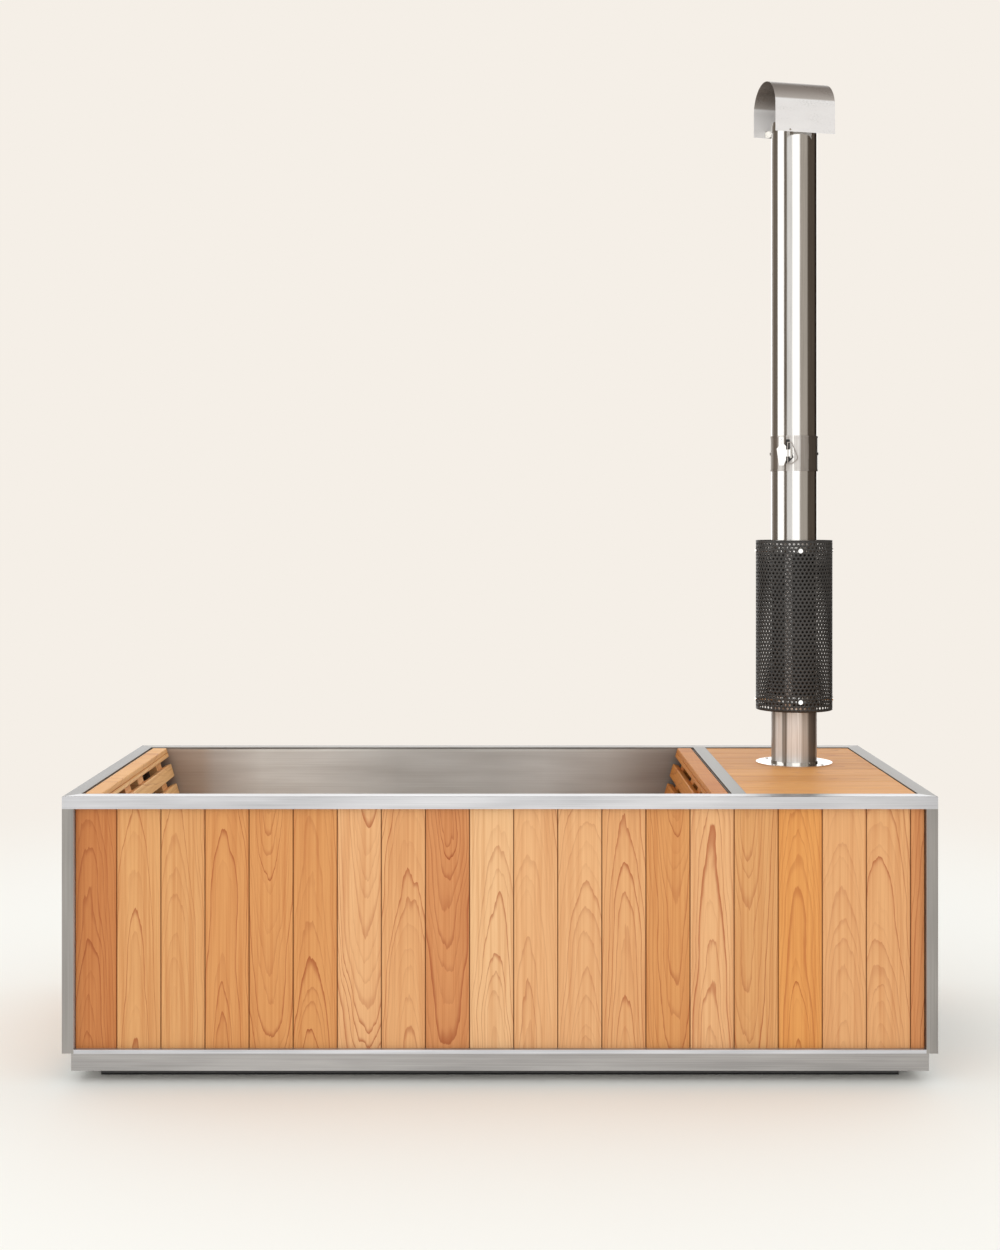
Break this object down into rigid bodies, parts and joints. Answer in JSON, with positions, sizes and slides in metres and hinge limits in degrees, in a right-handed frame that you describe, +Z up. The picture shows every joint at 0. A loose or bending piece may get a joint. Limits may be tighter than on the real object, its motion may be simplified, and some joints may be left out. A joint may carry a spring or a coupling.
{
  "type": "wood-burning hot tub",
  "caption": "Long stainless hot tub in a timber-clad steel frame, with reclined slatted backrests, a stove under a wooden deck at one end and a tall flue with a heat guard and rain hood.",
  "frame": {"origin": "centre of the body's footprint on the floor, under the middle cross-bearer", "axes": "+Z up along the flue, +X along the body towards the stove and flue, -Y is the long side seen first"},
  "size_m": [2.355, 1, 2.729],
  "materials": {
    "brushed_steel": "brushed, horizontal grain",
    "liner_steel": "brushed, horizontal grain",
    "polished_steel": "polished stainless",
    "galvanised": "mill finish sheet",
    "stove_steel": "satin, heat toned",
    "dark_frame": "matt dark grey",
    "black_enamel": "matt black heat paint",
    "guard_black": "matt black perforated sheet",
    "lever_paint": "red dipped lever",
    "cast_iron": "rough cast",
    "brass": "nickel free brass, satin",
    "rubber_black": "matt",
    "foam": "closed cell foam",
    "rope_seal": "woven glass rope",
    "stove_glass": "clear ceramic glass",
    "cedar": "oiled, flat sawn, cathedral grain",
    "deck_wood": "oiled, flat sawn",
    "pale_wood": "planed, pale",
    "plain_timber": "rough sawn",
    "handle_wood": "turned and oiled"
  },
  "bodies": {
    "tub_body": {"base_rubber": "rubber_black", "base_frame": "dark_frame", "plinth_skirt": "brushed_steel", "base_plate": "brushed_steel", "corner_posts": "brushed_steel", "bottom_rails": "brushed_steel", "top_rail_front": "brushed_steel", "top_rail_back": "brushed_steel", "top_rail_left": "brushed_steel", "top_rail_right": "brushed_steel", "divider_rail": "brushed_steel", "cladding_front": "cedar", "cladding_back": "cedar", "cladding_left": "cedar", "cladding_right": "cedar", "cladding_battens": "plain_timber", "insulation": "foam", "tub_liner": "liner_steel", "stove_bay_lining": "galvanised", "deck_boards": "deck_wood", "deck_battens": "plain_timber", "deck_heat_shield": "galvanised", "firebox": "stove_steel", "water_jacket": "stove_steel", "circulation_pipes": "brushed_steel", "port_grilles": "brushed_steel", "fire_grate": "cast_iron", "baffle_plate": "cast_iron", "stove_cradle": "galvanised", "stove_fascia": "black_enamel", "hinge_pins": "polished_steel", "latch_keeper": "polished_steel", "flue_lower": "polished_steel", "flue_upper": "polished_steel", "deck_flange": "polished_steel", "flange_screws": "polished_steel", "heat_guard": "guard_black", "guard_clamps": "polished_steel", "flue_screws": "polished_steel", "locking_band": "polished_steel", "band_pin": "polished_steel", "rain_cap": "polished_steel", "cap_strap": "polished_steel", "drain_waste": "brushed_steel", "drain_pipe": "brushed_steel", "drain_valve": "brass"},
    "stove_door": {"stove_door": "black_enamel", "door_seal": "rope_seal", "door_glass": "stove_glass", "glass_retainer": "brushed_steel"},
    "door_handle": {"door_handle": "polished_steel", "handle_grip": "handle_wood"},
    "ash_drawer": {"ash_drawer": "black_enamel"},
    "air_wheel": {"air_wheel": "polished_steel"},
    "band_lever": {"band_lever": "polished_steel"},
    "band_bail": {"band_bail": "polished_steel"},
    "drain_lever": {"drain_ball": "polished_steel", "drain_lever": "lever_paint"},
    "backrest_left": {"backrest_left": "pale_wood"},
    "backrest_right": {"backrest_right": "pale_wood"}
  },
  "joints": [
    {"name": "door_hinge", "type": "hinge", "parent": "tub_body", "child": "stove_door", "pos_m": [1.121, 0.205, 0.41], "axis": [0, 0, 1], "range_deg": [0, 110]},
    {"name": "handle_turn", "type": "hinge", "parent": "stove_door", "child": "door_handle", "pos_m": [1.133, -0.17, 0.41], "axis": [-1, 0, 0], "range_deg": [0, 90]},
    {"name": "ash_drawer_slide", "type": "slide", "parent": "tub_body", "child": "ash_drawer", "axis": [1, 0, 0], "range_m": [0, 0.3]},
    {"name": "air_wheel_turn", "type": "hinge", "parent": "ash_drawer", "child": "air_wheel", "pos_m": [1.122, 0, 0.188], "axis": [1, 0, 0], "range_deg": [0, 60]},
    {"name": "band_lever_turn", "type": "hinge", "parent": "tub_body", "child": "band_lever", "pos_m": [0.84206, 0.06798, 1.643], "axis": [0, 0, 1], "range_deg": [0, 120]},
    {"name": "band_bail_turn", "type": "hinge", "parent": "band_lever", "child": "band_bail", "pos_m": [0.83305, 0.06888, 1.643], "axis": [0, 0, 1], "range_deg": [-120, 0]},
    {"name": "drain_lever_turn", "type": "hinge", "parent": "tub_body", "child": "drain_lever", "pos_m": [-1.1465, 0, 0.055], "axis": [0, 0, 1], "range_deg": [0, 90]},
    {"name": "backrest_left_lift", "type": "slide", "parent": "tub_body", "child": "backrest_left", "axis": [0, 0, 1], "range_m": [0, 0.65]},
    {"name": "backrest_right_lift", "type": "slide", "parent": "tub_body", "child": "backrest_right", "axis": [0, 0, 1], "range_m": [0, 0.65]}
  ],
  "couplings": [
    {"joint": "band_bail_turn", "follows": "band_lever_turn", "ratio": -1}
  ]
}
